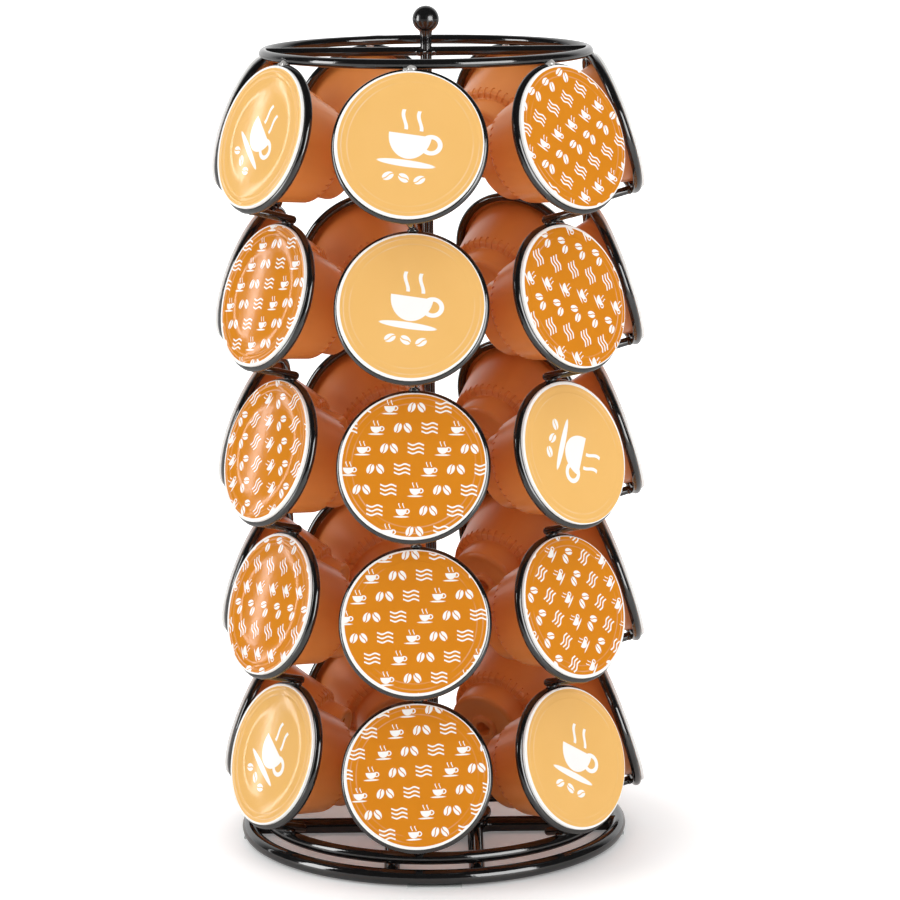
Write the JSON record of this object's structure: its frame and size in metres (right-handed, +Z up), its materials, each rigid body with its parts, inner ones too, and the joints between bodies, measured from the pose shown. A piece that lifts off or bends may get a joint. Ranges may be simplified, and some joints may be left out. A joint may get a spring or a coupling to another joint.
{
  "type": "coffee capsule dispenser",
  "caption": "Turning wire carousel that holds sealed coffee capsules in columns of tilted rings round a post, on a flat wire base.",
  "frame": {"origin": "on the table, on the post's axis", "axes": "+Z up along the post; the viewer of the picture stands at -Y, and +X is to their right"},
  "size_m": [0.1617, 0.1614, 0.3147],
  "materials": {
    "black_wire": "gloss",
    "capsule_plastic": "gloss",
    "spring_steel": "satin",
    "bush_plastic": "matt",
    "clear_pad": "matt"
  },
  "bodies": {
    "base": {"floor_ring": "black_wire", "base_rod_left": "black_wire", "base_rod_right": "black_wire", "pivot_plate": "black_wire", "pivot_bush": "bush_plastic", "thrust_washer": "spring_steel", "foot_pads": "clear_pad"},
    "carousel": {"ring_column_1": "black_wire", "ring_column_2": "black_wire", "ring_column_3": "black_wire", "ring_column_4": "black_wire", "ring_column_5": "black_wire", "ring_column_6": "black_wire", "ring_column_7": "black_wire", "top_ring": "black_wire", "top_bar_left": "black_wire", "top_bar_right": "black_wire", "bottom_ring": "black_wire", "bottom_bar_left": "black_wire", "bottom_bar_right": "black_wire", "bottom_hub": "black_wire", "centre_post": "black_wire", "finial_ball": "black_wire", "retaining_clip": "spring_steel"},
    "capsule_r1c1": {"capsule_r1c1": "capsule_plastic"},
    "capsule_r1c2": {"capsule_r1c2": "capsule_plastic"},
    "capsule_r1c3": {"capsule_r1c3": "capsule_plastic"},
    "capsule_r1c4": {"capsule_r1c4": "capsule_plastic"},
    "capsule_r1c5": {"capsule_r1c5": "capsule_plastic"},
    "capsule_r1c6": {"capsule_r1c6": "capsule_plastic"},
    "capsule_r1c7": {"capsule_r1c7": "capsule_plastic"},
    "capsule_r2c1": {"capsule_r2c1": "capsule_plastic"},
    "capsule_r2c2": {"capsule_r2c2": "capsule_plastic"},
    "capsule_r2c3": {"capsule_r2c3": "capsule_plastic"},
    "capsule_r2c4": {"capsule_r2c4": "capsule_plastic"},
    "capsule_r2c5": {"capsule_r2c5": "capsule_plastic"},
    "capsule_r2c6": {"capsule_r2c6": "capsule_plastic"},
    "capsule_r2c7": {"capsule_r2c7": "capsule_plastic"},
    "capsule_r3c1": {"capsule_r3c1": "capsule_plastic"},
    "capsule_r3c2": {"capsule_r3c2": "capsule_plastic"},
    "capsule_r3c3": {"capsule_r3c3": "capsule_plastic"},
    "capsule_r3c4": {"capsule_r3c4": "capsule_plastic"},
    "capsule_r3c5": {"capsule_r3c5": "capsule_plastic"},
    "capsule_r3c6": {"capsule_r3c6": "capsule_plastic"},
    "capsule_r3c7": {"capsule_r3c7": "capsule_plastic"},
    "capsule_r4c1": {"capsule_r4c1": "capsule_plastic"},
    "capsule_r4c2": {"capsule_r4c2": "capsule_plastic"},
    "capsule_r4c3": {"capsule_r4c3": "capsule_plastic"},
    "capsule_r4c4": {"capsule_r4c4": "capsule_plastic"},
    "capsule_r4c5": {"capsule_r4c5": "capsule_plastic"},
    "capsule_r4c6": {"capsule_r4c6": "capsule_plastic"},
    "capsule_r4c7": {"capsule_r4c7": "capsule_plastic"},
    "capsule_r5c1": {"capsule_r5c1": "capsule_plastic"},
    "capsule_r5c2": {"capsule_r5c2": "capsule_plastic"},
    "capsule_r5c3": {"capsule_r5c3": "capsule_plastic"},
    "capsule_r5c4": {"capsule_r5c4": "capsule_plastic"},
    "capsule_r5c5": {"capsule_r5c5": "capsule_plastic"},
    "capsule_r5c6": {"capsule_r5c6": "capsule_plastic"},
    "capsule_r5c7": {"capsule_r5c7": "capsule_plastic"}
  },
  "joints": [
    {"name": "carousel_spin", "type": "hinge", "parent": "base", "child": "carousel", "pos_m": [0, 0, 0.01], "axis": [0, 0, 1], "continuous": true},
    {"name": "pull_r1c1", "type": "slide", "parent": "carousel", "child": "capsule_r1c1", "axis": [-0.0854, -0.9762, 0.1994], "range_m": [0, 0.045]},
    {"name": "pull_r1c2", "type": "slide", "parent": "carousel", "child": "capsule_r1c2", "axis": [0.71, -0.6754, 0.1994], "range_m": [0, 0.045]},
    {"name": "pull_r1c3", "type": "slide", "parent": "carousel", "child": "capsule_r1c3", "axis": [0.9707, 0.134, 0.1994], "range_m": [0, 0.045]},
    {"name": "pull_r1c4", "type": "slide", "parent": "carousel", "child": "capsule_r1c4", "axis": [0.5005, 0.8425, 0.1994], "range_m": [0, 0.045]},
    {"name": "pull_r1c5", "type": "slide", "parent": "carousel", "child": "capsule_r1c5", "axis": [-0.3466, 0.9166, 0.1994], "range_m": [0, 0.045]},
    {"name": "pull_r1c6", "type": "slide", "parent": "carousel", "child": "capsule_r1c6", "axis": [-0.9327, 0.3005, 0.1994], "range_m": [0, 0.045]},
    {"name": "pull_r1c7", "type": "slide", "parent": "carousel", "child": "capsule_r1c7", "axis": [-0.8165, -0.5419, 0.1994], "range_m": [0, 0.045]},
    {"name": "pull_r2c1", "type": "slide", "parent": "carousel", "child": "capsule_r2c1", "axis": [-0.0854, -0.9762, 0.1994], "range_m": [0, 0.045]},
    {"name": "pull_r2c2", "type": "slide", "parent": "carousel", "child": "capsule_r2c2", "axis": [0.71, -0.6754, 0.1994], "range_m": [0, 0.045]},
    {"name": "pull_r2c3", "type": "slide", "parent": "carousel", "child": "capsule_r2c3", "axis": [0.9707, 0.134, 0.1994], "range_m": [0, 0.045]},
    {"name": "pull_r2c4", "type": "slide", "parent": "carousel", "child": "capsule_r2c4", "axis": [0.5005, 0.8425, 0.1994], "range_m": [0, 0.045]},
    {"name": "pull_r2c5", "type": "slide", "parent": "carousel", "child": "capsule_r2c5", "axis": [-0.3466, 0.9166, 0.1994], "range_m": [0, 0.045]},
    {"name": "pull_r2c6", "type": "slide", "parent": "carousel", "child": "capsule_r2c6", "axis": [-0.9327, 0.3005, 0.1994], "range_m": [0, 0.045]},
    {"name": "pull_r2c7", "type": "slide", "parent": "carousel", "child": "capsule_r2c7", "axis": [-0.8165, -0.5419, 0.1994], "range_m": [0, 0.045]},
    {"name": "pull_r3c1", "type": "slide", "parent": "carousel", "child": "capsule_r3c1", "axis": [-0.0854, -0.9762, 0.1994], "range_m": [0, 0.045]},
    {"name": "pull_r3c2", "type": "slide", "parent": "carousel", "child": "capsule_r3c2", "axis": [0.71, -0.6754, 0.1994], "range_m": [0, 0.045]},
    {"name": "pull_r3c3", "type": "slide", "parent": "carousel", "child": "capsule_r3c3", "axis": [0.9707, 0.134, 0.1994], "range_m": [0, 0.045]},
    {"name": "pull_r3c4", "type": "slide", "parent": "carousel", "child": "capsule_r3c4", "axis": [0.5005, 0.8425, 0.1994], "range_m": [0, 0.045]},
    {"name": "pull_r3c5", "type": "slide", "parent": "carousel", "child": "capsule_r3c5", "axis": [-0.3466, 0.9166, 0.1994], "range_m": [0, 0.045]},
    {"name": "pull_r3c6", "type": "slide", "parent": "carousel", "child": "capsule_r3c6", "axis": [-0.9327, 0.3005, 0.1994], "range_m": [0, 0.045]},
    {"name": "pull_r3c7", "type": "slide", "parent": "carousel", "child": "capsule_r3c7", "axis": [-0.8165, -0.5419, 0.1994], "range_m": [0, 0.045]},
    {"name": "pull_r4c1", "type": "slide", "parent": "carousel", "child": "capsule_r4c1", "axis": [-0.0854, -0.9762, 0.1994], "range_m": [0, 0.045]},
    {"name": "pull_r4c2", "type": "slide", "parent": "carousel", "child": "capsule_r4c2", "axis": [0.71, -0.6754, 0.1994], "range_m": [0, 0.045]},
    {"name": "pull_r4c3", "type": "slide", "parent": "carousel", "child": "capsule_r4c3", "axis": [0.9707, 0.134, 0.1994], "range_m": [0, 0.045]},
    {"name": "pull_r4c4", "type": "slide", "parent": "carousel", "child": "capsule_r4c4", "axis": [0.5005, 0.8425, 0.1994], "range_m": [0, 0.045]},
    {"name": "pull_r4c5", "type": "slide", "parent": "carousel", "child": "capsule_r4c5", "axis": [-0.3466, 0.9166, 0.1994], "range_m": [0, 0.045]},
    {"name": "pull_r4c6", "type": "slide", "parent": "carousel", "child": "capsule_r4c6", "axis": [-0.9327, 0.3005, 0.1994], "range_m": [0, 0.045]},
    {"name": "pull_r4c7", "type": "slide", "parent": "carousel", "child": "capsule_r4c7", "axis": [-0.8165, -0.5419, 0.1994], "range_m": [0, 0.045]},
    {"name": "pull_r5c1", "type": "slide", "parent": "carousel", "child": "capsule_r5c1", "axis": [-0.0854, -0.9762, 0.1994], "range_m": [0, 0.045]},
    {"name": "pull_r5c2", "type": "slide", "parent": "carousel", "child": "capsule_r5c2", "axis": [0.71, -0.6754, 0.1994], "range_m": [0, 0.045]},
    {"name": "pull_r5c3", "type": "slide", "parent": "carousel", "child": "capsule_r5c3", "axis": [0.9707, 0.134, 0.1994], "range_m": [0, 0.045]},
    {"name": "pull_r5c4", "type": "slide", "parent": "carousel", "child": "capsule_r5c4", "axis": [0.5005, 0.8425, 0.1994], "range_m": [0, 0.045]},
    {"name": "pull_r5c5", "type": "slide", "parent": "carousel", "child": "capsule_r5c5", "axis": [-0.3466, 0.9166, 0.1994], "range_m": [0, 0.045]},
    {"name": "pull_r5c6", "type": "slide", "parent": "carousel", "child": "capsule_r5c6", "axis": [-0.9327, 0.3005, 0.1994], "range_m": [0, 0.045]},
    {"name": "pull_r5c7", "type": "slide", "parent": "carousel", "child": "capsule_r5c7", "axis": [-0.8165, -0.5419, 0.1994], "range_m": [0, 0.045]}
  ]
}
